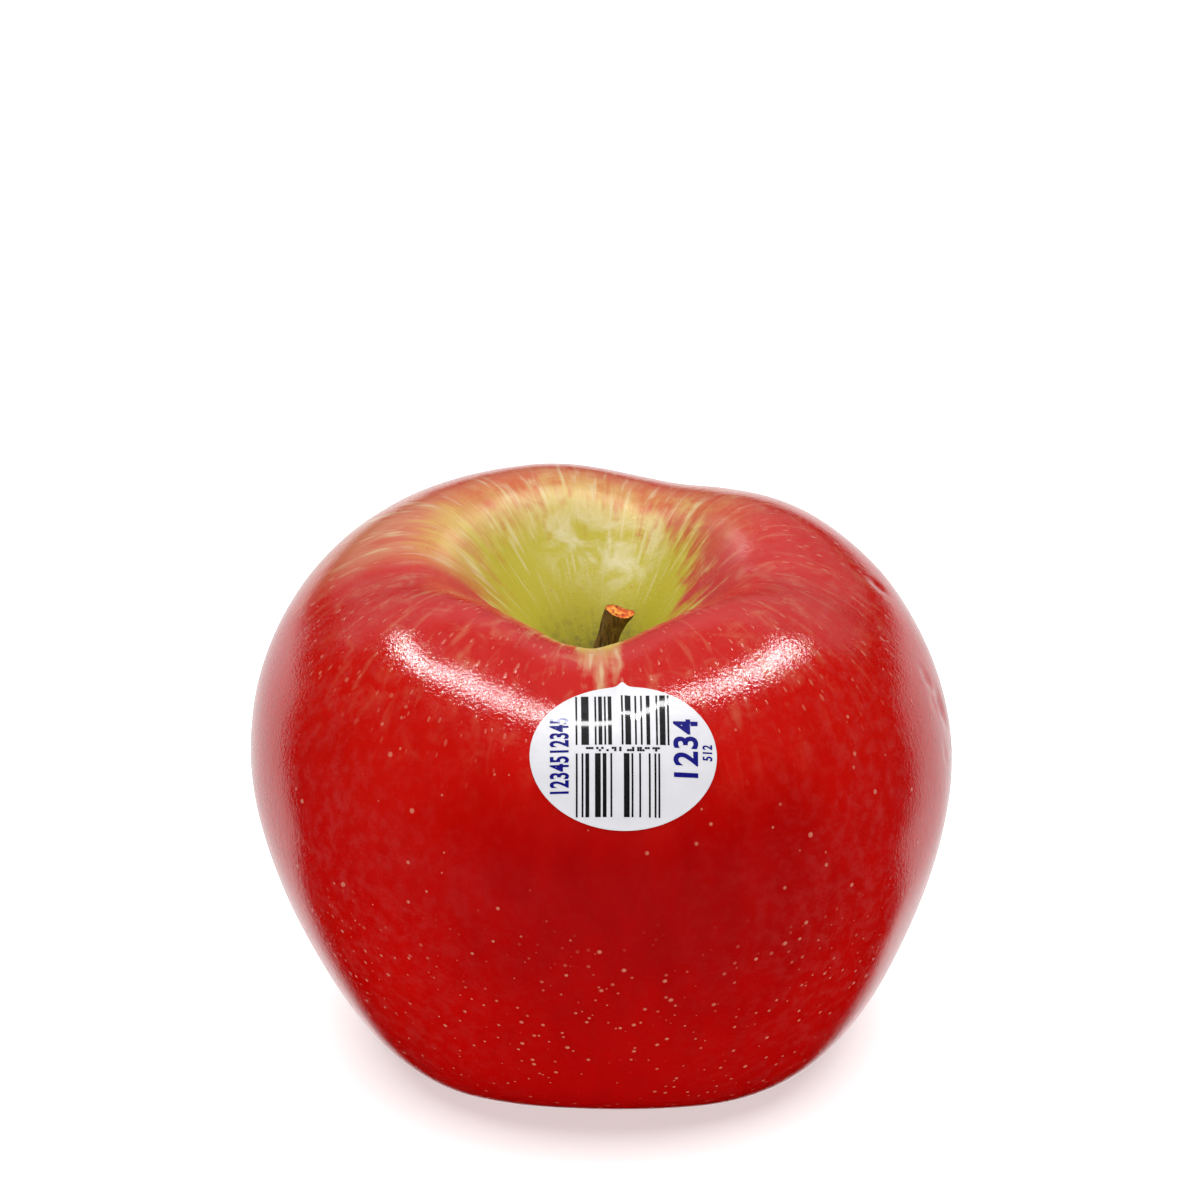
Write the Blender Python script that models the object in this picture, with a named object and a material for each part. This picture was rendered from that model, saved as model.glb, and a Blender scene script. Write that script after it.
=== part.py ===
"""One apple: the fruit, its short stem, the oval label on its front, and the dried flower underneath.

+Z is up. The origin is on the ground under the middle of the fruit. The front, with the label, faces -Y.
Lengths below are in millimetres and turns are in degrees; the model itself is in metres.
A turn is measured round the fruit's axis from the front, and grows towards +X.
"""

import math

import bmesh
import bpy
import numpy as np
from mathutils import Matrix, Vector
from mathutils.bvhtree import BVHTree

MM = 0.001

# The fruit's outline from the floor of the stem cavity, over the crest and down the side, to the basin
# underneath. Each pair is a distance from the axis and a height.
WIDEST_RADIUS = 44.0
CREST_HEIGHT = 65.2
CAVITY_FLOOR = 46.0
BASIN_DEPTH = 8.6
FOOT_RADIUS = 21.5
OUTLINE = [
    (0.0, CAVITY_FLOOR),
    (2.8, CAVITY_FLOOR + 0.8),
    (5.6, CAVITY_FLOOR + 4.6),
    (9.4, CAVITY_FLOOR + 9.6),
    (14.8, CAVITY_FLOOR + 14.9),
    (22.4, CREST_HEIGHT),
    (33.8, CREST_HEIGHT - 4.6),
    (41.6, CREST_HEIGHT - 15.2),
    (WIDEST_RADIUS, 36.0),
    (40.7, 21.4),
    (35.0, 8.6),
    (29.0, 2.0),
    (FOOT_RADIUS, 0.0),
    (14.6, 2.0),
    (8.6, 6.2),
    (4.0, BASIN_DEPTH - 0.2),
    (0.0, BASIN_DEPTH),
]
CREST_STATION = 5
WIDEST_STATION = 8
FOOT_STATION = 12
STATIONS = len(OUTLINE) - 1

# The five lobes of an apple. Each is a turn, its rise over the crest and its dip under the foot.
LOBES = [
    (44.0, 0.7, 0.3),
    (120.0, 1.1, 0.45),
    (199.0, 1.3, 0.5),
    (239.0, 1.3, 0.5),
    (314.0, 0.7, 0.35),
]
LOBE_HALF_WIDTH = 44.0
VALLEY_RISE = -1.4
VALLEY_LIFT = 1.1
RIB_DEPTH = 0.022

# A narrow groove runs over the front of the crest, out of the cavity and under the label.
GROOVE_TURN = -3.0
GROOVE_HALF_WIDTH = 17.0
GROOVE_DEPTH = 1.2
GROOVE_STATION = 4.6
LEAN = -0.032
LEAN_HEIGHT = 33.0

RINGS_PER_STATION = 3
FRUIT_SIDES = 64

# The stem stands in the cavity and leans to the right and back.
STEM_GAP = 0.3
STEM_TOP = Vector((1.9, 0.5, 57.1))
STEM_LOWER_RADIUS = 1.75
STEM_WAIST_RADIUS = 1.3
STEM_TOP_RADIUS = 1.6
STEM_STEPS = 8
STEM_SIDES = 16

# The label is an oval of thin film on the front shoulder.
STICKER_WIDTH = 22.8
STICKER_HEIGHT = 18.2
STICKER_THICKNESS = 0.25
STICKER_GAP = 0.32
STICKER_TURN = 5.0
STICKER_HEIGHT_UP = 57.4
STICKER_CELLS = 12

# The dried flower in the basin: five leaves round a tuft.
SEPAL_COUNT = 5
SEPAL_LENGTH = 6.4
SEPAL_WIDTH = 2.6
SEPAL_THICKNESS = 0.5
SEPAL_ROOT_RADIUS = 3.3
SEPAL_GAP = 0.35
SEPAL_STEPS = 8
TUFT_RADIUS = 1.7
TUFT_LENGTH = 2.6
TUFT_SPIKES = 10


def clear_scene():
    for obj in list(bpy.data.objects):
        bpy.data.objects.remove(obj)


def material(name, colour, roughness, metallic=0.0):
    made = bpy.data.materials.new(name)
    made.use_nodes = True
    shader = made.node_tree.nodes["Principled BSDF"]
    shader.inputs["Base Color"].default_value = (*colour, 1.0)
    shader.inputs["Roughness"].default_value = roughness
    shader.inputs["Metallic"].default_value = metallic
    return made


def add_object(name, bm, finish):
    """Turns a bmesh in millimetres into a smooth-shaded object in metres."""
    bmesh.ops.scale(bm, vec=(MM, MM, MM), verts=bm.verts)
    bmesh.ops.recalc_face_normals(bm, faces=bm.faces)
    mesh = bpy.data.meshes.new(name)
    bm.to_mesh(mesh)
    bm.free()
    mesh.shade_smooth()
    mesh.set_sharp_from_angle(angle=math.radians(50))
    mesh.materials.append(finish)
    obj = bpy.data.objects.new(name, mesh)
    bpy.context.scene.collection.objects.link(obj)
    return obj


def spline_controls(points):
    """Control points of the cubic B-spline through these points. It meets the axis squarely at both ends."""
    count = len(points)
    blend = np.eye(count) * 4.0
    blend += np.eye(count, k=1) + np.eye(count, k=-1)
    mirrored = blend.copy()
    mirrored[0, 1] = mirrored[-1, -2] = 0.0
    blend[0, 1] = blend[-1, -2] = 2.0
    radii, heights = np.array(points).T * 6.0
    return np.column_stack([np.linalg.solve(mirrored, radii), np.linalg.solve(blend, heights)])


OUTLINE_CONTROLS = spline_controls(OUTLINE)


def outline_at(station):
    """Distance from the axis and height at a station: 0 is the cavity's floor and STATIONS is the basin's."""
    start = min(int(station), STATIONS - 1)
    f = station - start
    weights = ((1 - f) ** 3, 3 * f**3 - 6 * f**2 + 4, -3 * f**3 + 3 * f**2 + 3 * f + 1, f**3)
    radius = height = 0.0
    for offset, weight in enumerate(weights):
        index = start - 1 + offset
        side = -1.0 if index < 0 or index > STATIONS else 1.0
        index = -index if index < 0 else min(index, 2 * STATIONS - index)
        radius += side * weight * OUTLINE_CONTROLS[index][0] / 6.0
        height += weight * OUTLINE_CONTROLS[index][1] / 6.0
    return radius, height


def bell(distance):
    return math.exp(-distance * distance)


def lobe_share(turn, middle):
    """1 at a lobe's middle, falling smoothly to 0 at its two valleys."""
    away = abs((turn - middle + 180.0) % 360.0 - 180.0)
    return math.cos(min(away / LOBE_HALF_WIDTH, 1.0) * math.pi / 2) ** 2


def fruit_point(turn, station):
    """A point of the fruit's skin."""
    radius, height = outline_at(station)
    shares = [lobe_share(turn, middle) for middle, _, _ in LOBES]
    covered = min(sum(shares), 1.0)
    crest = sum(share * rise for share, (_, rise, _) in zip(shares, LOBES))
    crest += (1.0 - covered) * VALLEY_RISE
    foot = (1.0 - covered) * VALLEY_LIFT
    foot -= sum(share * dip for share, (_, _, dip) in zip(shares, LOBES))
    groove = GROOVE_DEPTH * bell((turn - GROOVE_TURN) / GROOVE_HALF_WIDTH)
    height += crest * bell((station - CREST_STATION) / 1.9)
    height -= groove * bell((station - GROOVE_STATION) / 1.5)
    height += foot * bell((station - FOOT_STATION + 0.6) / 1.3)
    rib = RIB_DEPTH * (covered - 0.5) * bell((station - FOOT_STATION + 1.5) / 2.4)
    radius *= 1.0 + rib
    angle = math.radians(turn)
    across = radius * math.sin(angle) + LEAN * (height - LEAN_HEIGHT)
    return Vector((across, -radius * math.cos(angle), max(height, 0.0)))


def make_fruit(finish):
    """The outline is spun round the axis, and each point is then set where the lobes put it. The lowest
    points are cut level, which leaves the small flat spots that the fruit stands on."""
    bm = bmesh.new()
    layer = bm.verts.layers.float.new("station")
    rings = STATIONS * RINGS_PER_STATION
    line = []
    for ring in range(rings + 1):
        station = ring / RINGS_PER_STATION
        radius, height = outline_at(station)
        on_axis = ring in (0, rings)
        line.append(bm.verts.new((0.0, 0.0 if on_axis else -radius, height)))
        line[-1][layer] = station
    line_edges = [bm.edges.new(pair) for pair in zip(line, line[1:])]
    bmesh.ops.spin(
        bm,
        geom=line + line_edges,
        cent=(0, 0, 0),
        axis=(0, 0, 1),
        angle=math.tau,
        steps=FRUIT_SIDES,
        use_merge=True,
    )
    bmesh.ops.remove_doubles(bm, verts=bm.verts, dist=1e-4)
    for vert in bm.verts:
        turn = math.degrees(math.atan2(vert.co.x, -vert.co.y))
        vert.co = fruit_point(turn, vert[layer])
    return add_object("fruit", bm, finish)


def ring_of(bm, middle, direction, radius, sides, ripple=0.0):
    """A ring of vertices round a middle point, square to a direction, with a few shallow grooves."""
    turned = direction.to_track_quat("Z", "Y").to_matrix()
    ring = []
    for side in range(sides):
        angle = math.tau * side / sides
        reach = radius * (1.0 + ripple * math.cos(5 * angle + radius))
        offset = Vector((reach * math.cos(angle), reach * math.sin(angle), 0.0))
        ring.append(bm.verts.new(middle + turned @ offset))
    return ring


def skin_between(bm, rings):
    """Joins rings into one closed body with a cap at each end."""
    for lower, upper in zip(rings, rings[1:]):
        count = len(lower)
        for side in range(count):
            after = (side + 1) % count
            bm.faces.new((lower[side], lower[after], upper[after], upper[side]))
    bm.faces.new(rings[0][::-1])
    bm.faces.new(rings[-1])


def make_stem(finish):
    """A slightly bent stalk that is widest at its root and at its cut end."""
    bm = bmesh.new()
    root_x = LEAN * (CAVITY_FLOOR - LEAN_HEIGHT)
    root = Vector((root_x, 0.0, CAVITY_FLOOR + STEM_GAP))
    elbow = Vector((root_x + 0.1, 0.5, (CAVITY_FLOOR + STEM_TOP.z) / 2))
    rings = []
    for step in range(STEM_STEPS + 1):
        f = step / STEM_STEPS
        middle = root * (1 - f) ** 2 + elbow * 2 * f * (1 - f) + STEM_TOP * f**2
        direction = (elbow - root) * (1 - f) + (STEM_TOP - elbow) * f
        if step == 0:
            direction = Vector((0, 0, 1))
        lower = STEM_WAIST_RADIUS + (STEM_LOWER_RADIUS - STEM_WAIST_RADIUS) * (1 - f) ** 3
        radius = lower + (STEM_TOP_RADIUS - STEM_WAIST_RADIUS) * f**4
        rings.append(ring_of(bm, middle, direction.normalized(), radius, STEM_SIDES, 0.04))
    skin_between(bm, rings)
    return add_object("stem", bm, finish)


def skin_finder(fruit):
    """A function that finds the fruit's skin, in millimetres, along a ray."""
    mesh = fruit.data
    points = [vert.co / MM for vert in mesh.vertices]
    tree = BVHTree.FromPolygons(points, [tuple(face.vertices) for face in mesh.polygons])
    return lambda start, direction: tree.ray_cast(start, direction)[:2]


def station_at_height(height):
    """The station of the outer side that is this high."""
    low, high = float(CREST_STATION), float(WIDEST_STATION)
    for _ in range(40):
        middle = (low + high) / 2
        if outline_at(middle)[1] > height:
            low = middle
        else:
            high = middle
    return low


def sticker_frame():
    """The label's middle on the skin, and its rightward, upward and outward directions."""
    station = station_at_height(STICKER_HEIGHT_UP)
    step = 0.05
    middle = fruit_point(STICKER_TURN, station)
    right = fruit_point(STICKER_TURN + 2, station) - fruit_point(STICKER_TURN - 2, station)
    up = fruit_point(STICKER_TURN, station - step) - fruit_point(STICKER_TURN, station + step)
    out = right.cross(up).normalized()
    right = right.normalized()
    return middle, right, out.cross(right), out


def make_sticker(fruit, finish):
    """A grid is rounded to an oval, dropped on the skin and given its thickness."""
    middle, right, up, out = sticker_frame()
    find_skin = skin_finder(fruit)
    bm = bmesh.new()
    bmesh.ops.create_grid(bm, x_segments=STICKER_CELLS, y_segments=STICKER_CELLS, size=1.0)
    for vert in bm.verts:
        x, y, _ = vert.co
        across = x * math.sqrt(1 - y * y / 2) * STICKER_WIDTH / 2
        along = y * math.sqrt(1 - x * x / 2) * STICKER_HEIGHT / 2
        found, _ = find_skin(middle + right * across + up * along + out * 20.0, -out)
        vert.co = found + out * STICKER_GAP
    lower = list(bm.faces)
    raised = bmesh.ops.extrude_face_region(bm, geom=lower, use_keep_orig=True)
    upper = [item for item in raised["geom"] if isinstance(item, bmesh.types.BMVert)]
    bmesh.ops.translate(bm, verts=upper, vec=out * STICKER_THICKNESS)
    return add_object("sticker", bm, finish)


def basin_axis():
    return Vector((LEAN * (BASIN_DEPTH - LEAN_HEIGHT), 0.0, BASIN_DEPTH))


def make_sepal(index, finish):
    """A dried leaf that rises out of the basin's floor, leans over the tuft and curls back at its tip."""
    bm = bmesh.new()
    rings = []
    for step in range(SEPAL_STEPS + 1):
        f = step / SEPAL_STEPS
        inward = SEPAL_ROOT_RADIUS - 1.5 * math.sin(f * math.pi * 0.62) + 1.1 * f**3
        down = SEPAL_LENGTH * (0.10 + 0.72 * f)
        half = SEPAL_WIDTH / 2 * (1.0 - 0.88 * f**1.6)
        thick = SEPAL_THICKNESS * (1.0 - 0.4 * f) / 2
        cup = 0.35 * half
        outer = [(-half, cup), (0.0, thick), (half, cup)]
        inner = [(half, cup - thick), (0.0, -thick), (-half, cup - thick)]
        rings.append([bm.verts.new((across, -inward - depth, -down)) for across, depth in outer + inner])
    skin_between(bm, rings)
    turn = Matrix.Rotation(math.tau * index / SEPAL_COUNT + math.radians(20), 4, "Z")
    place = Matrix.Translation(basin_axis() - Vector((0, 0, SEPAL_GAP)))
    bmesh.ops.transform(bm, matrix=place @ turn, verts=bm.verts)
    return add_object(f"sepal_{index + 1}", bm, finish)


def make_tuft(finish):
    """The dried stamens: a low plug with a ragged crown, pointing down out of the basin."""
    bm = bmesh.new()
    down = Vector((0, 0, -1))
    top = basin_axis() + down * (SEPAL_GAP + 0.1)
    rings = []
    for drop, reach in ((0.0, 0.78), (0.3, 1.0), (0.6, 0.84)):
        rings.append(ring_of(bm, top + down * drop * TUFT_LENGTH, down, TUFT_RADIUS * reach, 2 * TUFT_SPIKES))
    skin_between(bm, rings)
    crown = max(bm.faces, key=lambda face: -face.calc_center_median().z)
    for inset in (0.18, 0.35):
        bmesh.ops.inset_region(bm, faces=[crown], thickness=inset * TUFT_RADIUS, use_even_offset=True)
        for number, vert in enumerate(crown.verts):
            tooth = 0.16 if inset < 0.3 and number % 2 else 0.0
            vert.co += down * TUFT_LENGTH * (tooth + 0.1 - inset / 3)
    bmesh.ops.poke(bm, faces=[crown])
    bmesh.ops.triangulate(bm, faces=bm.faces)
    return add_object("stamen_tuft", bm, finish)


def centre_on_origin(objects):
    """Slides everything sideways so that the middle of the fruit's box stands over the origin."""
    fruit = objects[0]
    xs = [vert.co.x for vert in fruit.data.vertices]
    ys = [vert.co.y for vert in fruit.data.vertices]
    shift = Vector((-(min(xs) + max(xs)) / 2, -(min(ys) + max(ys)) / 2, 0.0))
    for obj in objects:
        obj.data.transform(Matrix.Translation(shift))


def main():
    clear_scene()
    red_skin = material("red_skin", (0.50, 0.012, 0.010), 0.28)
    bark = material("stem_bark", (0.12, 0.055, 0.015), 0.75)
    film = material("label_film", (0.72, 0.71, 0.70), 0.3)
    dried = material("dried_flower", (0.10, 0.055, 0.028), 0.85)
    fruit = make_fruit(red_skin)
    objects = [fruit, make_stem(bark), make_sticker(fruit, film)]
    objects += [make_sepal(index, dried) for index in range(SEPAL_COUNT)]
    objects.append(make_tuft(dried))
    centre_on_origin(objects)


main()
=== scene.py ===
import math

import bmesh
import bpy
import numpy as np
from mathutils import Matrix, Vector, noise
from mathutils.bvhtree import BVHTree


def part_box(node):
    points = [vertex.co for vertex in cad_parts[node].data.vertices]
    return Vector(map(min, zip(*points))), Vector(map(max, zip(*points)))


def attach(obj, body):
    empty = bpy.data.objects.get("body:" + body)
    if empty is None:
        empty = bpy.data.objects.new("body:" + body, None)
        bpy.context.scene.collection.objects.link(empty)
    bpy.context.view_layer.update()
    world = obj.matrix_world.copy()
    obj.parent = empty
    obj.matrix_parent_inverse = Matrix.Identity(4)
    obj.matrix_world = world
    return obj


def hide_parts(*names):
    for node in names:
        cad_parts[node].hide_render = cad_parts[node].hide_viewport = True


# An apple with its stem, its oval label and the dried flower underneath.
# Pieces are measured in millimetres, and turns in degrees from the front towards +X.

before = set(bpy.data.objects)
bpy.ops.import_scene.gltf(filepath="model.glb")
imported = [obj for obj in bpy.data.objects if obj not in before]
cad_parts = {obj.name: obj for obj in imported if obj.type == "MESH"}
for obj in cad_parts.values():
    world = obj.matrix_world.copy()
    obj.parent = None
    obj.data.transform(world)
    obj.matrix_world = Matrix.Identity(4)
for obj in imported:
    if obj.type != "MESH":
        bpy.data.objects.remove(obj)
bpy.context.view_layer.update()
print("frame loaded")

mm = 0.001


class Wire:
    # one socket, so that shader maths reads like ordinary maths
    def __init__(self, finish, socket):
        self.finish = finish
        self.socket = socket

    def maths(self, operation, *others, flip=False):
        values = [self, *others][:: -1 if flip else 1]
        return self.finish.node("ShaderNodeMath", {"operation": operation}, dict(enumerate(values)))

    def __add__(self, other):
        return self.maths("ADD", other)

    def __sub__(self, other):
        return self.maths("SUBTRACT", other)

    def __rsub__(self, other):
        return self.maths("SUBTRACT", other, flip=True)

    def __mul__(self, other):
        return self.maths("MULTIPLY", other)

    def __truediv__(self, other):
        return self.maths("DIVIDE", other)

    def __rtruediv__(self, other):
        return self.maths("DIVIDE", other, flip=True)

    __radd__ = __add__
    __rmul__ = __mul__

    def ramp(self, low, high, fromValue=0.0, toValue=1.0):
        # a smooth step between two values
        settings = {"interpolation_type": "SMOOTHSTEP"}
        values = {"Value": self, "From Min": low, "From Max": high}
        values |= {"To Min": fromValue, "To Max": toValue}
        return self.finish.node("ShaderNodeMapRange", settings, values)

    def bell(self, middle, halfWidth):
        # 1 at the middle, falling away on both sides
        away = (self - middle) / halfWidth
        return (away * away * -1.0).maths("EXPONENT")


class Finish:
    # a material with one Principled shader
    def __init__(self, name, **constants):
        self.material = bpy.data.materials.new(name)
        self.material.use_nodes = True
        self.tree = self.material.node_tree
        self.shader = self.tree.nodes["Principled BSDF"]
        for socket, value in constants.items():
            self.shader.inputs[socket.replace("_", " ")].default_value = value

    def node(self, kind, settings=None, values=None, output=0):
        made = self.tree.nodes.new(kind)
        for name, value in (settings or {}).items():
            setattr(made, name, value)
        for name, value in (values or {}).items():
            self.connect(made.inputs[name], value)
        return Wire(self, made.outputs[output])

    def connect(self, socket, value):
        if isinstance(value, Wire):
            self.tree.links.new(value.socket, socket)
        elif socket.type == "RGBA" and len(value) == 3:
            socket.default_value = (*value, 1.0)
        else:
            socket.default_value = value

    def mix(self, share, first, second):
        # a share of the second colour over the first
        return self.node("ShaderNodeMix", {"data_type": "RGBA"}, {0: share, 6: first, 7: second}, output=2)

    def noise(self, place, scale, detail=2.0, roughness=0.5, warp=0.0):
        values = {"Vector": place, "Scale": scale, "Detail": detail}
        values |= {"Roughness": roughness, "Distortion": warp}
        return self.node("ShaderNodeTexNoise", None, values)

    def spots(self, place, scale, size):
        # round dots of mixed sizes scattered through space: 1 inside, 0 outside
        near = self.node("ShaderNodeTexVoronoi", None, {"Vector": place, "Scale": scale})
        chance = self.split(Wire(self, near.socket.node.outputs["Color"]))[0]
        return (near / (0.35 + chance)).ramp(size, size * 1.9, 1.0, 0.0)

    def place(self):
        # object coordinates in millimetres
        here = self.node("ShaderNodeTexCoord", output=3)
        return self.node("ShaderNodeMapping", None, {"Vector": here, "Scale": (1 / mm, 1 / mm, 1 / mm)})

    def attribute(self, name, scale=(1.0, 1.0, 1.0)):
        # a vector kept on the piece's own vertices
        found = self.node("ShaderNodeAttribute", {"attribute_name": name}, output=1)
        return self.node("ShaderNodeVectorMath", {"operation": "MULTIPLY"}, {0: found, 1: scale})

    def split(self, vector):
        made = self.tree.nodes.new("ShaderNodeSeparateXYZ")
        self.connect(made.inputs[0], vector)
        return [Wire(self, made.outputs[index]) for index in range(3)]

    def bump(self, height, depth, under=None):
        # relief of so many millimetres
        values = {"Height": height, "Distance": depth * mm}
        if under:
            values["Normal"] = under
        return self.node("ShaderNodeBump", None, values)

    def wear(self, **links):
        # what varies over the surface goes to the shader
        for socket, value in links.items():
            self.connect(self.shader.inputs[socket.replace("_", " ")], value)
        return self.material


def linear(red, green, blue, level=1.0):
    # a screen colour, 0 to 255, as the shader wants it, dimmed to stand under bright lamps
    parts = (c / 255 for c in (red, green, blue))
    return tuple(level * (((c + 0.055) / 1.055) ** 2.4 if c > 0.04 else c / 12.92) for c in parts)


def finishPiece(name, bm, material, nodes, sharp=None):
    # a bmesh in millimetres becomes a piece that stands for its CAD nodes
    bmesh.ops.scale(bm, vec=(mm, mm, mm), verts=bm.verts)
    bmesh.ops.recalc_face_normals(bm, faces=bm.faces)
    mesh = bpy.data.meshes.new(name)
    bm.to_mesh(mesh)
    bm.free()
    mesh.shade_smooth()
    if sharp:
        mesh.set_sharp_from_angle(angle=math.radians(sharp))
    mesh.materials.append(material)
    piece = bpy.data.objects.new(name, mesh)
    bpy.context.scene.collection.objects.link(piece)
    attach(piece, "root")
    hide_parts(*nodes)
    print(name, "made,", len(mesh.polygons), "faces")
    return piece


def spinProfile(bm, line, sides):
    # a line of vertices from axis to axis is turned into a closed body
    edges = [bm.edges.new(pair) for pair in zip(line, line[1:])]
    bmesh.ops.spin(
        bm, geom=line + edges, cent=(0, 0, 0), axis=(0, 0, 1),
        angle=math.tau, steps=sides, use_merge=True,
    )
    bmesh.ops.remove_doubles(bm, verts=bm.verts, dist=1e-5)


def bell(distance):
    return np.exp(-distance * distance)


def turnsBetween(turn, middle):
    return (turn - middle + 180.0) % 360.0 - 180.0


fruitShape = {
    # distance from the axis and height, from the cavity's floor over the crest to the basin's floor
    "outline": [
        (0.0, 46.0), (2.8, 46.8), (5.6, 50.6), (9.4, 55.6), (14.8, 60.9), (22.4, 65.2),
        (33.8, 60.6), (41.6, 50.0), (44.0, 36.0), (40.7, 21.4), (35.0, 8.6), (29.0, 2.0),
        (21.5, 0.0), (14.6, 2.0), (8.6, 6.2), (4.0, 8.4), (0.0, 8.6),
    ],
    "crest": 5,
    "foot": 12,
    # turn, rise over the crest, dip under the foot
    "lobes": [
        (44.0, 0.7, 0.3), (120.0, 1.1, 0.45), (199.0, 1.3, 0.5),
        (239.0, 1.3, 0.5), (314.0, 0.7, 0.35),
    ],
    "lobeHalfWidth": 44.0,
    "valleyRise": -1.4,
    "valleyLift": 1.1,
    "rib": 0.022,
    # the narrow groove over the front of the crest: turn, width, depth, station
    "groove": (-3.0, 17.0, 1.2, 4.6),
    "lean": -0.032,
    "leanHeight": 33.0,
    "ringsPerStation": 14,
    "sides": 384,
    "waviness": 0.10,
    "rimPleats": 0.16,
    # small pressed dents: turn, station, width in degrees, length in stations, depth
    "dents": [
        (82.0, 6.9, 1.3, 0.10, 0.30), (84.0, 7.25, 1.6, 0.15, 0.42), (79.5, 7.1, 1.0, 0.07, 0.2),
        (96.0, 6.15, 1.7, 0.09, 0.30), (86.0, 7.7, 1.1, 0.08, 0.2), (78.0, 7.55, 0.9, 0.06, 0.16),
        (318.0, 10.1, 2.0, 0.09, 0.10), (152.0, 8.8, 2.2, 0.12, 0.2), (231.0, 9.4, 1.6, 0.08, 0.14),
    ],
}


def splineControls(points):
    # control points of the cubic B-spline through the outline, square to the axis at both ends
    count = len(points)
    mirrored = np.eye(count) * 4.0 + np.eye(count, k=1) + np.eye(count, k=-1)
    level = mirrored.copy()
    mirrored[0, 1] = mirrored[-1, -2] = 0.0
    level[0, 1] = level[-1, -2] = 2.0
    radii, heights = np.array(points).T * 6.0
    controls = np.column_stack([np.linalg.solve(mirrored, radii), np.linalg.solve(level, heights)])
    return np.vstack([controls[1] * (-1, 1), controls, controls[-2] * (-1, 1)])


class FruitForm:
    # the skin's shape as a function of turn and station
    def __init__(self, shape):
        self.shape = shape
        self.controls = splineControls(shape["outline"])
        self.last = len(shape["outline"]) - 1
        stations = np.linspace(0, self.last, 2001)
        line = np.column_stack(self.outline(stations))
        steps = np.hypot(*np.diff(line, axis=0).T)
        self.stations = stations
        self.lengths = np.concatenate([[0.0], np.cumsum(steps)])

    def outline(self, station):
        start = np.minimum(station.astype(int), self.last - 1)
        f = station - start
        weights = ((1 - f) ** 3, 3 * f**3 - 6 * f**2 + 4, -3 * f**3 + 3 * f**2 + 3 * f + 1, f**3)
        point = sum(weight[:, None] * self.controls[start + k] for k, weight in enumerate(weights)) / 6
        return point[:, 0], point[:, 1]

    def along(self, station):
        # distance walked on the skin from the cavity's middle
        return np.interp(station, self.stations, self.lengths)

    def point(self, turn, station):
        shape = self.shape
        radius, height = self.outline(station)
        shares = []
        for middle, _, _ in shape["lobes"]:
            away = np.abs(turnsBetween(turn, middle)) / shape["lobeHalfWidth"]
            shares.append(np.cos(np.minimum(away, 1.0) * math.pi / 2) ** 2)
        covered = np.minimum(sum(shares), 1.0)
        crest = sum(share * lobe[1] for share, lobe in zip(shares, shape["lobes"]))
        crest += (1.0 - covered) * shape["valleyRise"]
        foot = (1.0 - covered) * shape["valleyLift"]
        foot -= sum(share * lobe[2] for share, lobe in zip(shares, shape["lobes"]))
        grooveTurn, grooveWidth, grooveDepth, grooveStation = shape["groove"]
        groove = grooveDepth * bell(turnsBetween(turn, grooveTurn) / grooveWidth)
        height = height + crest * bell((station - shape["crest"]) / 1.9)
        height -= groove * bell((station - grooveStation) / 1.5)
        height += foot * bell((station - shape["foot"] + 0.6) / 1.3)
        ribs = (covered - 0.5) * bell((station - shape["foot"] + 1.5) / 2.4)
        radius = radius * (1.0 + shape["rib"] * ribs)
        angle = np.radians(turn)
        across = radius * np.sin(angle) + shape["lean"] * (height - shape["leanHeight"])
        return np.column_stack([across, -radius * np.cos(angle), np.maximum(height, 0.0)])


form = FruitForm(fruitShape)


def fitToFrame():
    # the sideways shift that sets the fruit's box over the CAD fruit's box
    turns = np.arange(0.0, 360.0, 360.0 / 64)
    stations = np.arange(0.0, form.last + 0.01, 1 / 3)
    skin = form.point(*(grid.ravel() for grid in np.meshgrid(turns, stations)))
    low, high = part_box("fruit")
    middle = (skin.min(0) + skin.max(0)) / 2
    wanted = (low + high) / 2 / mm
    return np.array([wanted.x - middle[0], wanted.y - middle[1], 0.0])


shift = fitToFrame()


def skinPoint(turn, station):
    return Vector(form.point(np.array([float(turn)]), np.array([float(station)]))[0] + shift)


def makeFruit(material):
    shape = fruitShape
    bm = bmesh.new()
    mark = bm.verts.layers.float.new("station")
    flow = bm.verts.layers.float_vector.new("flow")
    rings = form.last * shape["ringsPerStation"]
    stations = np.linspace(0.0, form.last, rings + 1)
    line = []
    for ring, (radius, height) in enumerate(zip(*form.outline(stations))):
        reach = 0.0 if ring in (0, rings) else -radius
        line.append(bm.verts.new((0.0, reach, height)))
        line[-1][mark] = stations[ring]
    spinProfile(bm, line, shape["sides"])
    turns = np.array([math.degrees(math.atan2(vert.co.x, -vert.co.y)) for vert in bm.verts])
    stations = np.array([vert[mark] for vert in bm.verts])
    skin = form.point(turns, stations) + shift
    along = form.along(stations)
    bite = sum(
        depth * bell(turnsBetween(turns, turn) / width) * bell((stations - station) / length)
        for turn, station, width, length, depth in shape["dents"]
    )
    rim = bell((stations - 4.1) / 1.1)
    grounded = skin[:, 2] < 0.6
    angles = np.radians(turns)
    for index, vert in enumerate(bm.verts):
        vert.co = skin[index]
        vert[flow] = (math.sin(angles[index]), math.cos(angles[index]), along[index] / 100)
    bm.normal_update()
    for index, vert in enumerate(bm.verts):
        if grounded[index]:
            continue
        wave = shape["waviness"] * noise.noise(vert.co / 9.0)
        round5 = Vector((math.sin(angles[index]), math.cos(angles[index]), 0.0)) * 7.0
        pleat = shape["rimPleats"] * rim[index] * noise.noise(round5 + Vector((0, 0, along[index] / 18)))
        vert.co += vert.normal * (wave + pleat - bite[index])
    return finishPiece("fruit_skin", bm, material, ["fruit"])


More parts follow.
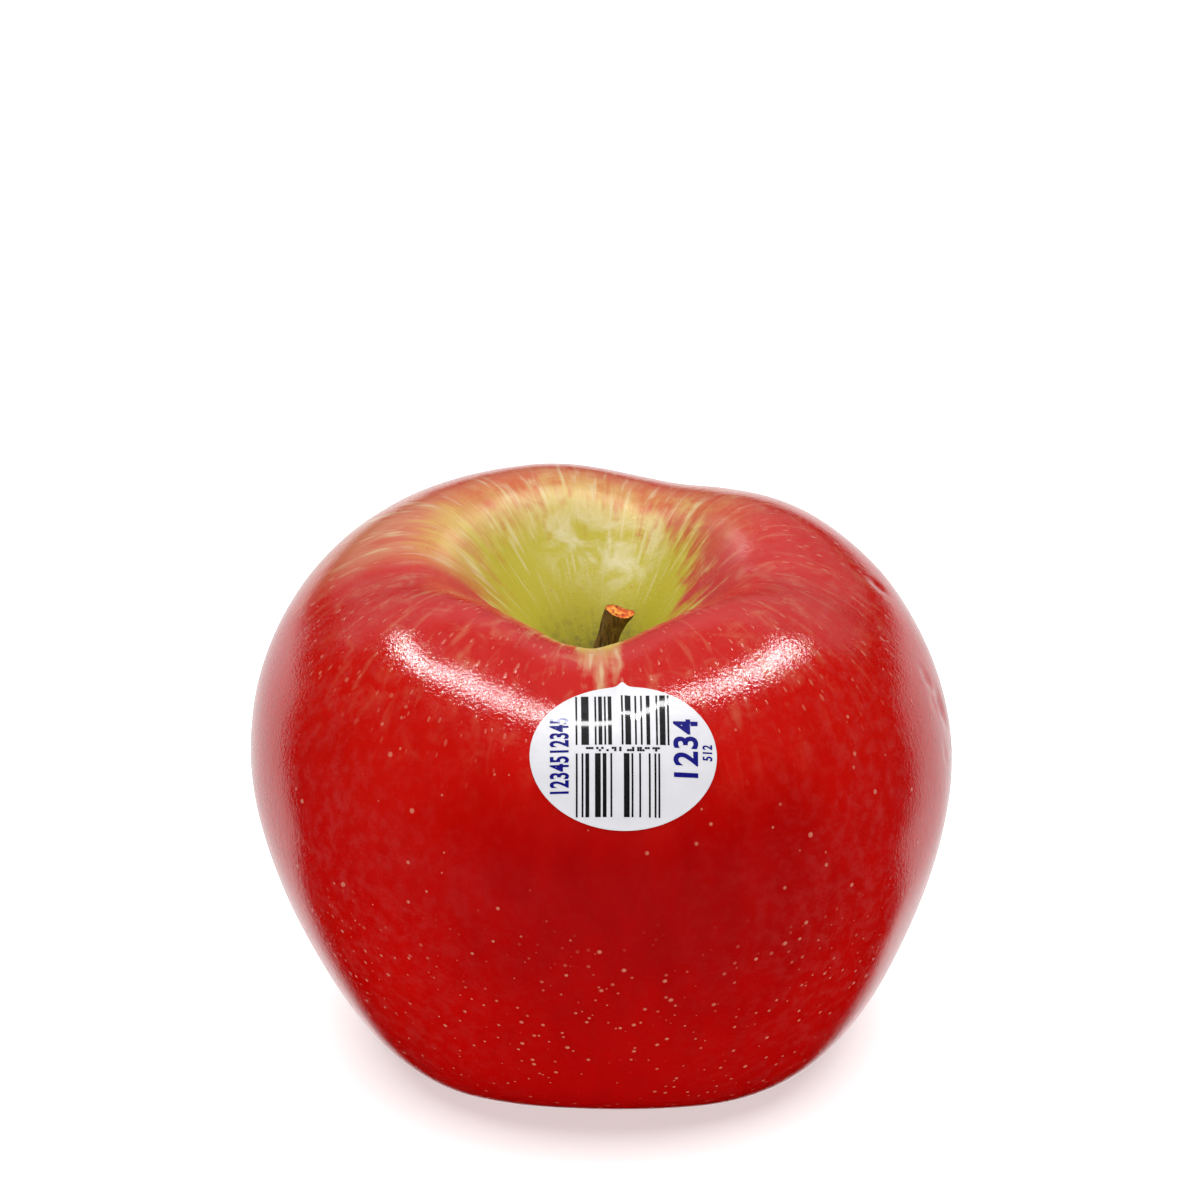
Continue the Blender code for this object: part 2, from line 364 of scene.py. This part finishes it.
labelShape = {
    "width": 22.0,
    "height": 17.6,
    "turn": 5.0,
    "heightUp": 57.7,
    "roll": -5.0,
    "film": 0.11,
    "ink": 0.02,
    "lift": 0.03,
    "cells": (96, 78),
    # the fold down the middle and the small peak it makes at the top edge
    "fold": 0.22,
    "foldWidth": 0.55,
    "peak": 0.55,
    "peakWidth": 0.5,
    # the two rows of bars: lower edge, upper edge, half width
    "barRows": [(1.15, 7.5, 5.6), (-7.3, 0.1, 5.6)],
    "module": 0.225,
    # plain numbers: the figures, height, squeeze, middle
    "figures": [
        ("1234", 3.9, 0.93, (7.5, 0.6)), ("1234512345", 3.0, 0.60, (-7.4, -0.1)),
        ("512", 1.55, 0.8, (9.95, 0.4)),
    ],
}


class LabelPlace:
    # finds where a point of the flat label lies on the skin
    def __init__(self, shape, fruit):
        self.shape = shape
        station = self.stationAt(shape["heightUp"])
        turn = shape["turn"]
        self.middle = skinPoint(turn, station)
        right = skinPoint(turn + 2, station) - skinPoint(turn - 2, station)
        up = skinPoint(turn, station - 0.05) - skinPoint(turn, station + 0.05)
        self.out = right.cross(up).normalized()
        self.right = Matrix.Rotation(math.radians(shape["roll"]), 3, self.out) @ right.normalized()
        self.up = self.out.cross(self.right)
        self.tree = BVHTree.FromObject(fruit, bpy.context.evaluated_depsgraph_get())

    def stationAt(self, height):
        stations = np.linspace(fruitShape["crest"], fruitShape["crest"] + 3, 400)
        return float(np.interp(-height, -form.outline(stations)[1], stations))

    def drape(self, x, y, z):
        shape = self.shape
        start = self.middle + self.right * x + self.up * y + self.out * 20.0
        found, normal, _, _ = self.tree.ray_cast(start * mm, -self.out)
        fold = math.exp(-((x / shape["foldWidth"]) ** 2)) * shape["fold"]
        fold *= min(max((y + 1.0) / 6.0, 0.0), 1.0) ** 2
        return found / mm + normal * (shape["lift"] + z + fold)


def drapeAll(bm, place, low, high):
    # a flat mesh gets its thickness, then lies down on the skin
    bottom = list(bm.faces)
    raised = bmesh.ops.extrude_face_region(bm, geom=bottom, use_keep_orig=True)
    top = {item for item in raised["geom"] if isinstance(item, bmesh.types.BMVert)}
    for vert in bm.verts:
        vert.co = place.drape(vert.co.x, vert.co.y, high if vert in top else low)


def makeFilm(place, material):
    shape = labelShape
    bm = bmesh.new()
    across, upward = shape["cells"]
    bmesh.ops.create_grid(bm, x_segments=across, y_segments=upward, size=1.0)
    for vert in bm.verts:
        x, y, _ = vert.co
        vert.co.x = x * math.sqrt(1 - y * y / 2) * shape["width"] / 2
        vert.co.y = y * math.sqrt(1 - x * x / 2) * shape["height"] / 2
        if y > 0.9:
            peak = shape["peak"] * math.exp(-abs(vert.co.x / shape["peakWidth"]) ** 1.5)
            vert.co.y += (y - 0.9) * 10 * peak
    drapeAll(bm, place, 0.0, shape["film"])
    return finishPiece("label_film", bm, material, ["sticker"], sharp=50)


def addBlock(bm, left, right, bottom, top, cell=0.6):
    # a flat rectangle cut into cells small enough to bend with the skin
    columns = max(1, round((right - left) / cell))
    rows = max(1, round((top - bottom) / cell))
    made = bmesh.ops.create_grid(bm, x_segments=columns, y_segments=rows, size=1.0)["verts"]
    bmesh.ops.scale(bm, vec=((right - left) / 2, (top - bottom) / 2, 1.0), verts=made)
    bmesh.ops.translate(bm, vec=((left + right) / 2, (bottom + top) / 2, 0.0), verts=made)


def makeBars(place, material):
    # two rows of plain bars of the maker's own pattern, with a dotted line between them
    shape = labelShape
    bm = bmesh.new()
    module = shape["module"]
    patterns = ([1, 2, 4, 3, 1, 1, 2, 1, 1, 1, 2, 5, 1, 1, 3, 2, 1, 2, 1, 2, 2, 3, 1, 1, 3, 1, 1],
                [1, 2, 1, 1, 2, 3, 3, 1, 2, 2, 1, 6, 3, 1, 1, 3, 1, 4, 1, 2, 1, 1, 1])
    for (bottom, top, half), pattern in zip(shape["barRows"], patterns):
        cursor = -half
        for number, modules in enumerate(pattern):
            wide = modules * module
            if number % 2 == 0 and cursor + wide <= half + module:
                addBlock(bm, cursor, cursor + wide, bottom, top)
            cursor += wide
    dots = np.random.default_rng(4)
    for column in range(30):
        for row in range(2):
            if dots.random() < 0.5:
                left = -4.7 + column * 0.3
                bottom = 0.33 + row * 0.28
                addBlock(bm, left, left + 0.28, bottom, bottom + 0.26)
    drapeAll(bm, place, shape["film"], shape["film"] + shape["ink"])
    return finishPiece("label_bars", bm, material, ["sticker"], sharp=50)


def addFigures(bm, text, size, squeeze, middle):
    # figures that read upwards, cut into cells small enough to bend with the skin
    curve = bpy.data.curves.new("figures", "FONT")
    curve.body = text
    curve.size = size
    curve.align_x = "CENTER"
    curve.align_y = "CENTER"
    curve.offset = 0.028 * size
    curve.space_character = 1.08
    words = bpy.data.objects.new("figures", curve)
    bpy.context.scene.collection.objects.link(words)
    flat = bpy.data.meshes.new_from_object(words.evaluated_get(bpy.context.evaluated_depsgraph_get()))
    bpy.data.objects.remove(words)
    part = bmesh.new()
    part.from_mesh(flat)
    bmesh.ops.remove_doubles(part, verts=part.verts, dist=1e-4)
    place = Matrix.Translation((*middle, 0.0)) @ Matrix.Rotation(math.radians(90), 4, "Z")
    bmesh.ops.transform(part, matrix=place @ Matrix.Diagonal((squeeze, 1.0, 1.0, 1.0)), verts=part.verts)
    for direction in (Vector((1, 0, 0)), Vector((0, 1, 0))):
        for step in range(-18, 19):
            everything = part.verts[:] + part.edges[:] + part.faces[:]
            cut = direction * step * 0.62
            bmesh.ops.bisect_plane(part, geom=everything, plane_co=cut, plane_no=direction)
    part.to_mesh(flat)
    part.free()
    bm.from_mesh(flat)


def makeFigures(place, material):
    shape = labelShape
    bm = bmesh.new()
    for text, size, squeeze, middle in shape["figures"]:
        addFigures(bm, text, size, squeeze, middle)
    drapeAll(bm, place, shape["film"], shape["film"] + shape["ink"])
    return finishPiece("label_figures", bm, material, ["sticker"], sharp=50)


stemShape = {
    "top": (1.9, 0.5, 57.1),
    "lowerRadius": 1.75,
    "waistRadius": 1.32,
    "topRadius": 1.62,
    "sides": 96,
    "steps": 70,
    "fibres": 0.10,
    "knots": 0.14,
    "cutDrop": 0.35,
    # the chip left standing on one side of the cut: angle, width, height
    "chip": (12.0, 26.0, 0.55),
}


def makeStem(material):
    shape = stemShape
    floor = fruitShape["outline"][0][1]
    across = fruitShape["lean"] * (floor - fruitShape["leanHeight"])
    root = Vector((across, 0.0, floor - 0.25)) + Vector(shift)
    top = Vector(shape["top"]) + Vector(shift)
    elbow = Vector((root.x + 0.1, root.y + 0.5, (root.z + top.z) / 2))
    bm = bmesh.new()
    cut = bm.verts.layers.float.new("cut")
    line = [bm.verts.new((0.0, 0.0, 0.0))]
    for step in range(shape["steps"] + 1):
        f = step / shape["steps"]
        waist = shape["waistRadius"] + (shape["lowerRadius"] - shape["waistRadius"]) * (1 - f) ** 3
        radius = waist + (shape["topRadius"] - shape["waistRadius"]) * f**4
        line.append(bm.verts.new((radius, 0.0, f)))
    for share in (0.93, 0.86, 0.78, 0.66, 0.54, 0.42, 0.3, 0.18, 0.08):
        line.append(bm.verts.new((shape["topRadius"] * share, 0.0, 1.0)))
        line[-1][cut] = 1.0
    line.append(bm.verts.new((0.0, 0.0, 1.0)))
    line[-1][cut] = 1.0
    spinProfile(bm, line, shape["sides"])
    chipAngle, chipWidth, chipHeight = shape["chip"]
    for vert in bm.verts:
        f = vert.co.z
        reach = math.hypot(vert.co.x, vert.co.y)
        angle = math.degrees(math.atan2(vert.co.y, vert.co.x))
        around = Vector((math.cos(math.radians(angle)), math.sin(math.radians(angle)), 0.0))
        fibre = shape["fibres"] * noise.noise(around * 5.5 + Vector((0, 0, f * 2.2)))
        fibre += 0.5 * shape["fibres"] * noise.noise(around * 14.0 + Vector((0, 0, f * 5.0)))
        knot = shape["knots"] * noise.noise(around * 1.6 + Vector((3.0, 0, f * 4.5)))
        chip = math.exp(-((turnsBetween(angle, chipAngle) / chipWidth) ** 2))
        rise = 0.0
        if vert[cut] > 0.5 or f > 0.995:
            share = reach / shape["topRadius"]
            pits = noise.noise(Vector((vert.co.x, vert.co.y, 7.0)) * 1.7)
            rise = -shape["cutDrop"] * max(0.0, 1.0 - share**3) * (0.55 + 1.1 * max(pits, 0.0))
            rise += 0.10 * noise.noise(Vector((vert.co.x, vert.co.y, 2.0)) * 4.0)
            rise += chip * chipHeight * share**2
        reach += (fibre + knot) * min(1.0, reach)
        reach += chip * max(0.0, f - 0.9) * 4.0 * min(1.0, math.hypot(vert.co.x, vert.co.y) / 1.4)
        direction = ((elbow - root) * (1 - f) + (top - elbow) * f).normalized()
        middle = root * (1 - f) ** 2 + elbow * 2 * f * (1 - f) + top * f**2
        turned = Vector((0, 0, 1)).rotation_difference(direction).to_matrix()
        vert.co = middle + turned @ (around * reach + Vector((0, 0, rise)))
    return finishPiece("stem_stalk", bm, material, ["stem"], sharp=60)


flowerShape = {
    "basin": 8.6,
    "sepals": 5,
    "length": 6.4,
    "width": 2.9,
    "thickness": 0.22,
    "rootRadius": 3.3,
    "stamens": 17,
}


def basinAxis():
    height = flowerShape["basin"]
    across = fruitShape["lean"] * (height - fruitShape["leanHeight"])
    return Vector((across, 0.0, height)) + Vector(shift)


def makeSepal(number, material):
    # a dried leaf that cups over the stamens and curls back at its ragged tip
    shape = flowerShape
    bm = bmesh.new()
    bmesh.ops.create_grid(bm, x_segments=12, y_segments=30, size=1.0)
    for vert in bm.verts:
        side = vert.co.x
        f = (vert.co.y + 1) / 2
        ragged = 1.0 + 0.22 * noise.noise(Vector((side * 1.2, f * 7.0, number * 5.0)))
        half = shape["width"] / 2 * (1.0 - 0.9 * f**1.7) * ragged
        inward = shape["rootRadius"] - 1.5 * math.sin(f * math.pi * 0.62) + 1.2 * f**3
        crinkle = noise.noise(Vector((side * 2.0, f * 4.0, number * 3.0 + 1.0)))
        crease = 0.38 * half * side * side + 0.16 * crinkle
        twist = side * 0.4 * (f - 0.4) * (1 if number % 2 else -1)
        down = shape["length"] * (0.08 + 0.74 * f)
        vert.co = Vector((side * half, -inward - crease - twist, -down))
    raised = bmesh.ops.extrude_face_region(bm, geom=list(bm.faces), use_keep_orig=True)
    top = [item for item in raised["geom"] if isinstance(item, bmesh.types.BMVert)]
    bmesh.ops.translate(bm, vec=(0, shape["thickness"], 0), verts=top)
    turn = Matrix.Rotation(math.tau * number / shape["sepals"] + math.radians(20), 4, "Z")
    bmesh.ops.transform(bm, matrix=Matrix.Translation(basinAxis()) @ turn, verts=bm.verts)
    name = f"sepal_leaf_{number + 1}"
    return finishPiece(name, bm, material, [f"sepal_{number + 1}"], sharp=60)


def makeStamens(material):
    # a plug with a crown of thin bent threads, each with a small head
    shape = flowerShape
    bm = bmesh.new()
    draw = np.random.default_rng(11)
    plug = bmesh.ops.create_icosphere(bm, subdivisions=3, radius=1.25)["verts"]
    for vert in plug:
        vert.co *= 1.0 + 0.18 * noise.noise(vert.co * 2.2)
        vert.co.z = vert.co.z * 0.55 - 0.7
    for thread in range(shape["stamens"]):
        angle = math.tau * thread / shape["stamens"] + draw.uniform(-0.15, 0.15)
        away = Vector((math.cos(angle), math.sin(angle), 0.0))
        start = away * draw.uniform(0.5, 1.05) - Vector((0, 0, 0.9))
        end = start + away * draw.uniform(-0.3, 0.5) - Vector((0, 0, draw.uniform(0.7, 1.3)))
        bend = (start + end) / 2 + away * draw.uniform(-0.2, 0.4)
        ring = bmesh.ops.create_circle(bm, cap_ends=True, segments=6, radius=0.11)["verts"]
        face = ring[0].link_faces[0]
        bmesh.ops.translate(bm, vec=start, verts=ring)
        for step in range(1, 7):
            f = step / 6
            grown = bmesh.ops.extrude_discrete_faces(bm, faces=[face])["faces"][0]
            wanted = start * (1 - f) ** 2 + bend * 2 * f * (1 - f) + end * f**2
            size = 2.1 if step == 5 else 0.45 if step == 6 else 0.92
            bmesh.ops.translate(bm, vec=wanted - grown.calc_center_median(), verts=grown.verts)
            middle = Matrix.Translation(-grown.calc_center_median())
            bmesh.ops.scale(bm, vec=(size, size, size), verts=grown.verts, space=middle)
            face = grown
    bmesh.ops.translate(bm, vec=basinAxis(), verts=bm.verts)
    return finishPiece("stamens", bm, material, ["stamen_tuft"], sharp=60)


skinColours = {
    # painted shade: a darker copy of the cavity's yellow for the cavity's floor
    "cavityFloorShade": (146, 136, 2),
    "cavity": (206, 192, 8),
    "rim": (232, 202, 96),
    # cream of the skin's own streaks, also used for a painted highlight on the cavity's back wall
    "creamAndHighlight": (242, 230, 176),
    "peach": (226, 142, 104),
    # a brighter red, used for a painted sheen on the upper shoulders and for random cloudy tone
    "redBrightAndLit": (218, 28, 18),
    "redMiddle": (204, 4, 2),
    # a darker red, used for painted shade on the front and for random darker streaks
    "redDeepAndShaded": (170, 1, 1),
    # pink of the skin's mottling, also standing in for a painted sheen at the sides
    "redPinkAndSheen": (206, 84, 78),
    "dot": (238, 150, 120),
    "russet": (120, 92, 36),
}
skinLevel = 0.60


def skinFinish():
    colours = {name: linear(*seen, skinLevel) for name, seen in skinColours.items()}
    skin = Finish("red_skin_wax", Specular_IOR_Level=0.5, IOR=1.48)
    place = skin.place()
    z = skin.split(place)[2]
    sideways, forward, walked = skin.split(skin.attribute("flow"))
    along = walked * 100.0
    hair = skin.noise(skin.attribute("flow", (60.0, 60.0, 24.0)), 1.0, 2.0, 0.5, 0.3)
    streak = skin.noise(skin.attribute("flow", (22.0, 22.0, 16.0)), 1.0, 2.0, 0.5, 0.4)
    brush = skin.noise(skin.attribute("flow", (9.0, 9.0, 10.0)), 1.0, 2.0, 0.5, 0.5)
    blotch = skin.noise(place, 0.30, 3.0, 0.6, 0.6)
    cloud = skin.noise(place, 0.06, 3.0, 0.55)
    mottle = skin.noise(place, 0.55, 4.0, 0.65)
    grain = skin.noise(place, 2.4, 2.0, 0.6)

    # where the red starts, as a distance walked from the cavity's middle
    def towards(turn, halfWidth):
        angle = math.radians(turn)
        cosine = sideways * math.sin(angle) + forward * math.cos(angle)
        return cosine.ramp(math.cos(math.radians(halfWidth)), 1.0)

    start = 20.0 + (forward * forward - sideways * sideways) * 4.5 + towards(180.0, 80.0) * 2.0
    start = start + towards(1.5, 9.0) * 10.0 + towards(238.0, 24.0) * 3.0
    start = start + (blotch - 0.5) * 9.0 + (brush - 0.5) * 12.0
    start = start + (streak - 0.5) * 13.0 + (hair - 0.5) * 5.0
    redness = (along - start).ramp(-3.0, 5.5)
    patch = towards(249.0, 26.0) * (along + (brush - 0.5) * 14.0).ramp(54.0, 38.0, 0.0, 1.0)
    strength = 0.75 + (hair - 0.5) * 0.8 + (brush - 0.5) * 1.6
    redness = redness * (1.0 - patch * strength.maths("MINIMUM", 1.0))
    thin = towards(190.0, 95.0) * along.ramp(48.0, 30.0, 0.0, 1.0)
    strength = 0.42 + (streak - 0.5) * 0.8 + (blotch - 0.5) * 1.0
    redness = redness * (1.0 - thin * strength.ramp(-0.3, 1.2))

    # the ground colour under the red, with painted shade darkening the cavity's floor and a painted
    # highlight on the cavity's back wall
    reach = along + (brush - 0.5) * 8.0
    # painted shade: the ground colour darkens towards the floor of the cavity
    wall = skin.mix(reach.ramp(3.0, 13.0), colours["cavityFloorShade"], colours["cavity"])
    reach = along + (streak - 0.5) * 9.0 + (blotch - 0.5) * 9.0
    wall = skin.mix(reach.ramp(19.0, 27.0), wall, colours["rim"])
    wall = skin.mix((along + (streak - 0.5) * 9.0).ramp(25.0, 34.0), wall, colours["peach"])
    clouded = (0.5 + (blotch - 0.5) * 2.4).ramp(0.2, 1.0)
    # painted highlight: a pale cream patch on the cavity's back wall; the streaks in the next line are the
    # skin's own cream
    pale = towards(177.0, 42.0) * along.bell(20.0, 5.0) * clouded
    light = (streak - 0.5).ramp(0.03, 0.22) * along.ramp(9.0, 20.0) * 0.55
    wall = skin.mix(pale.maths("MAXIMUM", light), wall, colours["creamAndHighlight"])
    base = skin.mix((along - (streak - 0.5) * 6.0).ramp(118.0, 134.0), wall, colours["cavity"])
    reach = along + (streak - 0.5) * 14.0 + (hair - 0.5) * 8.0
    redness = redness * reach.ramp(137.0, 122.0, 0.0, 1.0)

    # the reds: deeper in front and below as painted shade, brighter on the shoulders as a painted sheen,
    # pinker and blotched at the sides as mottle and in part a painted sheen
    # painted sheen: the red grows brighter with height towards the shoulders, with random cloudy tone on
    # top
    litShoulder = z.ramp(34.0, 64.0)
    red = skin.mix(litShoulder * 0.75 + (cloud - 0.5) * 0.5, colours["redMiddle"], colours["redBrightAndLit"])
    # painted shade: the front, below the shoulders, is darkened; the brush noise adds the skin's own
    # darker streaks
    frontShade = towards(8.0, 44.0) * z.ramp(58.0, 44.0, 0.0, 1.0) * z.ramp(4.0, 34.0, 0.35, 1.0)
    red = skin.mix((frontShade * 0.85 + (brush - 0.5) * 0.7).maths("MAXIMUM", 0.0), red, colours["redDeepAndShaded"])
    # pink mottle at the left and right sides, partly the skin's own blotches and partly a painted sheen
    # where the sides reflect the white surroundings
    pinkMottleAndSheen = (1.0 - forward * forward) * (mottle - 0.42).ramp(0.0, 0.3) * 0.36
    red = skin.mix(pinkMottleAndSheen, red, colours["redPinkAndSheen"])
    paler = (streak - 0.5).ramp(0.02, 0.28) * 0.4 + (blotch - 0.5).ramp(0.0, 0.3) * 0.45
    red = skin.mix(paler * along.ramp(58.0, 30.0, 0.0, 1.0), red, colours["peach"])
    tint = skin.mix(redness, base, red)

    # pale dots: small and close below, larger and sparser above, drawn out near the cavity
    low = skin.spots(place, 0.74, 0.10) * z.ramp(40.0, 18.0, 0.0, 1.0)
    middle = skin.spots(place, 0.36, 0.060) * z.ramp(10.0, 30.0) * z.ramp(64.0, 54.0, 0.0, 1.0)
    dashes = skin.spots(skin.attribute("flow", (34.0, 34.0, 44.0)), 1.0, 0.11)
    dashes = dashes * (along.ramp(22.0, 28.0)) * along.ramp(56.0, 42.0, 0.0, 0.7)
    dots = low.maths("MAXIMUM", middle).maths("MAXIMUM", dashes)
    tint = skin.mix(dots * 0.6, tint, colours["dot"])

    # corky specks at the cavity's floor and round the basin
    speck = skin.spots(place, 1.1, 0.30) * along.ramp(13.0, 5.0, 0.0, 1.0)
    tint = skin.mix(speck * 0.6, tint, colours["russet"])
    tint = skin.mix((along + (mottle - 0.5) * 12.0).ramp(132.0, 138.0) * 0.7, tint, colours["russet"])

    wax = grain * 0.7 + hair * 0.3
    relief = skin.bump(wax, 0.06)
    relief = skin.bump(dots, 0.03, under=relief)
    return skin.wear(
        Base_Color=tint,
        Roughness=0.11 + (mottle - 0.5) * 0.12 + dots * 0.1 + along.ramp(22.0, 33.0, 0.5, 0.0),
        Normal=relief,
    )


def filmFinish():
    film = Finish("label_white_film", Roughness=0.4, Coat_Weight=0.6, Coat_Roughness=0.06)
    place = film.place()
    crinkle = film.noise(place, 0.5, 2.0, 0.5)
    shade = film.mix(crinkle, linear(204, 203, 208, 0.86), linear(214, 213, 217, 0.86))
    return film.wear(Base_Color=shade, Normal=film.bump(crinkle, 0.10))


def inkFinish(name, colour):
    ink = Finish(name, Roughness=0.5, Specular_IOR_Level=0.1, Coat_Weight=0.5, Coat_Roughness=0.06)
    place = ink.place()
    crinkle = ink.noise(place, 0.5, 2.0, 0.5)
    patchy = ink.noise(place, 6.0, 2.0, 0.6)
    shade = ink.mix(patchy.ramp(0.45, 0.8) * 0.12, colour, linear(120, 118, 122, 0.5))
    return ink.wear(Base_Color=shade, Normal=ink.bump(crinkle, 0.10))


def barkFinish():
    bark = Finish("stem_bark_cut", Specular_IOR_Level=0.3)
    place = bark.place()
    cut = bark.node("ShaderNodeAttribute", {"attribute_name": "cut"}, output=2)
    long = bark.node("ShaderNodeMapping", None, {"Vector": place, "Scale": (2.2, 2.2, 0.35)})
    fibre = bark.noise(long, 1.6, 4.0, 0.65)
    blotch = bark.noise(place, 0.9, 3.0, 0.6)
    side = bark.mix(fibre.ramp(0.3, 0.7), linear(64, 40, 12), linear(122, 92, 40))
    side = bark.mix(blotch.ramp(0.5, 0.75) * 0.6, side, linear(118, 112, 52))
    wood = bark.mix(blotch.ramp(0.35, 0.6), linear(236, 158, 62), linear(190, 74, 16))
    wood = bark.mix(bark.noise(place, 2.2, 3.0, 0.7).ramp(0.52, 0.66), wood, linear(96, 22, 4))
    return bark.wear(
        Base_Color=bark.mix(cut, side, wood),
        Roughness=0.62 + fibre * 0.3,
        Normal=bark.bump(fibre, 0.12),
    )


def driedFinish():
    dried = Finish("dried_flower_brown", Specular_IOR_Level=0.25)
    place = dried.place()
    vein = dried.noise(place, 1.5, 4.0, 0.7)
    shade = dried.mix(vein.ramp(0.3, 0.7), linear(58, 40, 24), linear(134, 106, 70))
    return dried.wear(Base_Color=shade, Roughness=0.75 + vein * 0.2, Normal=dried.bump(vein, 0.15))


studio = {
    "floorSize": 9.0,
    "floorColour": (0.95, 0.95, 0.95),
    "floorGlow": 0.48,
    # lamps that light the scene: place in metres, size, power
    "washes": {
        "front_fill": ((0.0, -1.3, 0.45), (1.4, 0.7), 6.0),
        "floor_wash": ((0.0, 0.1, 1.9), (3.2, 3.2), 88.0),
    },
    # cards seen only in gloss: overhead, and low and high behind the fruit for its pale edges
    "cards": {
        "soft_box": ((0.0, 0.42, 0.80), (1.1, 0.9), 0.9),
        "edge_card": ((0.0, 0.17, -0.035), (0.70, 0.22), 0.50),
        "sky_card": ((0.0, 0.30, 0.26), (0.80, 0.30), 0.26),
    },
    # the bright rim along the soft box's front edge
    "rimMiddle": (0.0, 0.57),
    "rimRadius": 0.66,
    "rimHeight": 0.80,
    "rimSpread": 80.0,
    "rimLamps": 13,
    "rimWidth": 0.04,
    "rimPower": 1.0,
    "backdrop": 1.1,
}


def lightArea(name, place, size, power, gloss, turn=0.0):
    # a lamp facing the fruit, either seen in gloss or lighting the scene
    lamp = bpy.data.lights.new(name, "AREA")
    lamp.shape = "ELLIPSE" if size[1] > 0.25 else "RECTANGLE"
    lamp.size, lamp.size_y = size
    lamp.energy = power
    stand = bpy.data.objects.new(name, lamp)
    bpy.context.scene.collection.objects.link(stand)
    away = (Vector(place) - Vector((0, 0, 0.035))).normalized()
    along = Vector((math.cos(turn), math.sin(turn), 0.0))
    across = away.cross(along).normalized()
    facing = Matrix((across.cross(away), across, away)).transposed().to_4x4()
    stand.matrix_world = Matrix.Translation(place) @ facing
    stand.visible_glossy = gloss
    stand.visible_diffuse = not gloss
    return stand


def makeLamps():
    for name, (place, size, power) in studio["washes"].items():
        lightArea(name, place, size, power, False)
    for name, (place, size, power) in studio["cards"].items():
        lightArea(name, place, size, power, True)
    count = studio["rimLamps"]
    step = math.radians(2 * studio["rimSpread"] / (count - 1))
    for number in range(count):
        turn = (number - (count - 1) / 2) * step
        x = studio["rimMiddle"][0] + studio["rimRadius"] * math.sin(turn)
        y = studio["rimMiddle"][1] - studio["rimRadius"] * math.cos(turn)
        size = (studio["rimRadius"] * step * 1.25, studio["rimWidth"])
        place = (x, y, studio["rimHeight"])
        lightArea(f"box_rim_{number + 1}", place, size, studio["rimPower"], True, turn)


def makeStudio():
    makeLamps()
    bm = bmesh.new()
    bmesh.ops.create_grid(bm, x_segments=1, y_segments=1, size=studio["floorSize"] / 2)
    mesh = bpy.data.meshes.new("floor")
    bm.to_mesh(mesh)
    bm.free()
    floor = bpy.data.objects.new("floor", mesh)
    bpy.context.scene.collection.objects.link(floor)
    white = Finish(
        "floor_white", Roughness=0.9, Specular_IOR_Level=0.0,
        Emission_Color=(1.0, 1.0, 1.0, 1.0), Emission_Strength=studio["floorGlow"],
    )
    mesh.materials.append(white.wear(Base_Color=studio["floorColour"]))
    floor.visible_glossy = False
    makeWorld()
    bpy.context.scene.view_settings.view_transform = "Standard"
    print("studio set")


def makeWorld():
    # a white backdrop for the camera alone: the lamps do all the lighting
    world = bpy.data.worlds.new("studio")
    bpy.context.scene.world = world
    world.use_nodes = True
    rays = world.node_tree.nodes.new("ShaderNodeLightPath")
    level = world.node_tree.nodes.new("ShaderNodeMath")
    level.operation = "MULTIPLY"
    level.inputs[1].default_value = studio["backdrop"]
    world.node_tree.links.new(rays.outputs["Is Camera Ray"], level.inputs[0])
    background = world.node_tree.nodes["Background"]
    world.node_tree.links.new(level.outputs[0], background.inputs["Strength"])
    background.inputs["Color"].default_value = (1.0, 1.0, 1.0, 1.0)


cameraPlace = {
    "aim": (0.0, 0.0, 0.033),
    "distance": 0.65,
    "elevation": 28.0,
    "lookAbove": 2.05,
    "lookLeft": 0.02,
    "lens": 154.8,
}


def makeCamera():
    setup = cameraPlace
    up = math.radians(setup["elevation"])
    camera = bpy.data.objects.new("camera", bpy.data.cameras.new("camera"))
    bpy.context.scene.collection.objects.link(camera)
    away = Vector((0.0, -math.cos(up), math.sin(up))) * setup["distance"]
    camera.location = Vector(setup["aim"]) + away
    tilt = math.radians(90.0 - setup["elevation"] + setup["lookAbove"])
    camera.rotation_euler = (tilt, 0.0, math.radians(setup["lookLeft"]))
    camera.data.lens = setup["lens"]
    camera.data.sensor_width = 36.0
    camera.data.clip_start = 0.01
    bpy.context.scene.camera = camera
    print("camera set")


fruit = makeFruit(skinFinish())
place = LabelPlace(labelShape, fruit)
makeFilm(place, filmFinish())
makeBars(place, inkFinish("label_black_ink", linear(22, 20, 22, 0.5)))
makeFigures(place, inkFinish("label_blue_ink", linear(12, 10, 130, 0.6)))
makeStem(barkFinish())
dried = driedFinish()
for number in range(flowerShape["sepals"]):
    makeSepal(number, dried)
makeStamens(dried)
makeStudio()
makeCamera()
